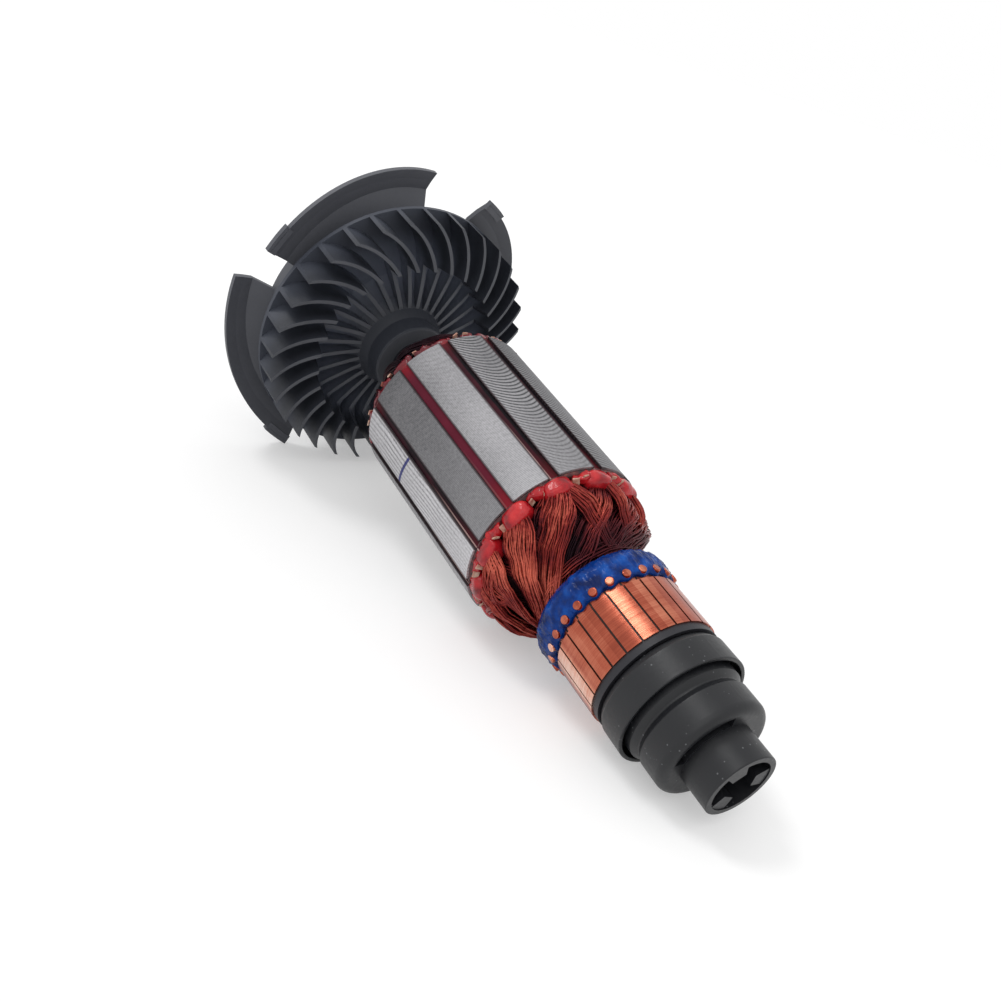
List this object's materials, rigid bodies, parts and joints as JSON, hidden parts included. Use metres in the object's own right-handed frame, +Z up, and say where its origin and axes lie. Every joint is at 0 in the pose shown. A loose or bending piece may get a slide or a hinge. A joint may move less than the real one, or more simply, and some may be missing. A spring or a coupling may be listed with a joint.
{
  "type": "motor armature",
  "caption": "Wound motor armature with a copper commutator, rubber bearing boot, cooling fan and vaned air baffle.",
  "frame": {"origin": "on the surface the armature lies on, below the middle of its bounding box", "axes": "+X along the armature towards its commutator end, +Z up; the shaft dips towards +X as it lies at rest"},
  "size_m": [0.231, 0.1028, 0.1015],
  "materials": {
    "shaft_steel": "turned",
    "lamination_steel": "turned laminations",
    "insulation_paper": "paper",
    "winding_copper": "enamelled wire",
    "red_insulation": "varnished",
    "wedge_strip": "varnished",
    "insulation_sleeve": "matte",
    "commutator_resin": "moulded",
    "bar_copper": "turned",
    "blue_lacquer": "lacquered",
    "bearing_steel": "ground",
    "cage_plastic": "moulded",
    "seal_rubber": "moulded",
    "boot_rubber": "moulded",
    "fan_plastic": "moulded",
    "baffle_plastic": "moulded"
  },
  "bodies": {
    "rotor": {"shaft": "shaft_steel", "lamination_stack": "lamination_steel", "slot_liners": "insulation_paper", "slot_windings": "winding_copper", "slot_wedge_01": "wedge_strip", "slot_wedge_02": "wedge_strip", "slot_wedge_03": "wedge_strip", "slot_wedge_04": "wedge_strip", "slot_wedge_05": "wedge_strip", "slot_wedge_06": "wedge_strip", "slot_wedge_07": "wedge_strip", "slot_wedge_08": "wedge_strip", "slot_wedge_09": "wedge_strip", "slot_wedge_10": "wedge_strip", "slot_wedge_11": "wedge_strip", "slot_wedge_12": "wedge_strip", "front_end_insulator": "red_insulation", "back_end_insulator": "red_insulation", "shaft_sleeves": "insulation_sleeve", "front_end_winding": "winding_copper", "back_end_winding": "winding_copper", "commutator_core": "commutator_resin", "commutator_bar_01": "bar_copper", "commutator_bar_02": "bar_copper", "commutator_bar_03": "bar_copper", "commutator_bar_04": "bar_copper", "commutator_bar_05": "bar_copper", "commutator_bar_06": "bar_copper", "commutator_bar_07": "bar_copper", "commutator_bar_08": "bar_copper", "commutator_bar_09": "bar_copper", "commutator_bar_10": "bar_copper", "commutator_bar_11": "bar_copper", "commutator_bar_12": "bar_copper", "commutator_bar_13": "bar_copper", "commutator_bar_14": "bar_copper", "commutator_bar_15": "bar_copper", "commutator_bar_16": "bar_copper", "commutator_bar_17": "bar_copper", "commutator_bar_18": "bar_copper", "commutator_bar_19": "bar_copper", "commutator_bar_20": "bar_copper", "commutator_bar_21": "bar_copper", "commutator_bar_22": "bar_copper", "commutator_bar_23": "bar_copper", "commutator_bar_24": "bar_copper", "lacquer_ring": "blue_lacquer", "front_bearing_inner_ring": "bearing_steel", "rear_bearing_inner_ring": "bearing_steel", "cooling_fan": "fan_plastic"},
    "boot_end": {"front_bearing_outer_ring": "bearing_steel", "front_bearing_seals": "seal_rubber", "rubber_boot": "boot_rubber", "boot_tip": "boot_rubber"},
    "front_cage": {"front_bearing_cage": "cage_plastic", "front_bearing_balls": "bearing_steel"},
    "baffle_end": {"rear_bearing_outer_ring": "bearing_steel", "rear_bearing_seals": "seal_rubber", "air_baffle": "baffle_plastic", "baffle_plate": "baffle_plastic", "bearing_housing": "baffle_plastic"},
    "rear_cage": {"rear_bearing_cage": "cage_plastic", "rear_bearing_balls": "bearing_steel"}
  },
  "joints": [
    {"name": "boot_turn", "type": "hinge", "parent": "rotor", "child": "boot_end", "pos_m": [0.09432, 0, 0.01753], "axis": [0.984, 0, -0.1784], "continuous": true},
    {"name": "front_cage_turn", "type": "hinge", "parent": "rotor", "child": "front_cage", "pos_m": [0.09432, 0, 0.01753], "axis": [0.984, 0, -0.1784], "continuous": true},
    {"name": "baffle_turn", "type": "hinge", "parent": "rotor", "child": "baffle_end", "pos_m": [-0.08624, 0, 0.05026], "axis": [0.984, 0, -0.1784], "continuous": true},
    {"name": "rear_cage_turn", "type": "hinge", "parent": "rotor", "child": "rear_cage", "pos_m": [-0.08624, 0, 0.05026], "axis": [0.984, 0, -0.1784], "continuous": true}
  ],
  "couplings": [
    {"joint": "front_cage_turn", "follows": "boot_turn", "ratio": 0.63222},
    {"joint": "rear_cage_turn", "follows": "baffle_turn", "ratio": 0.63545}
  ]
}
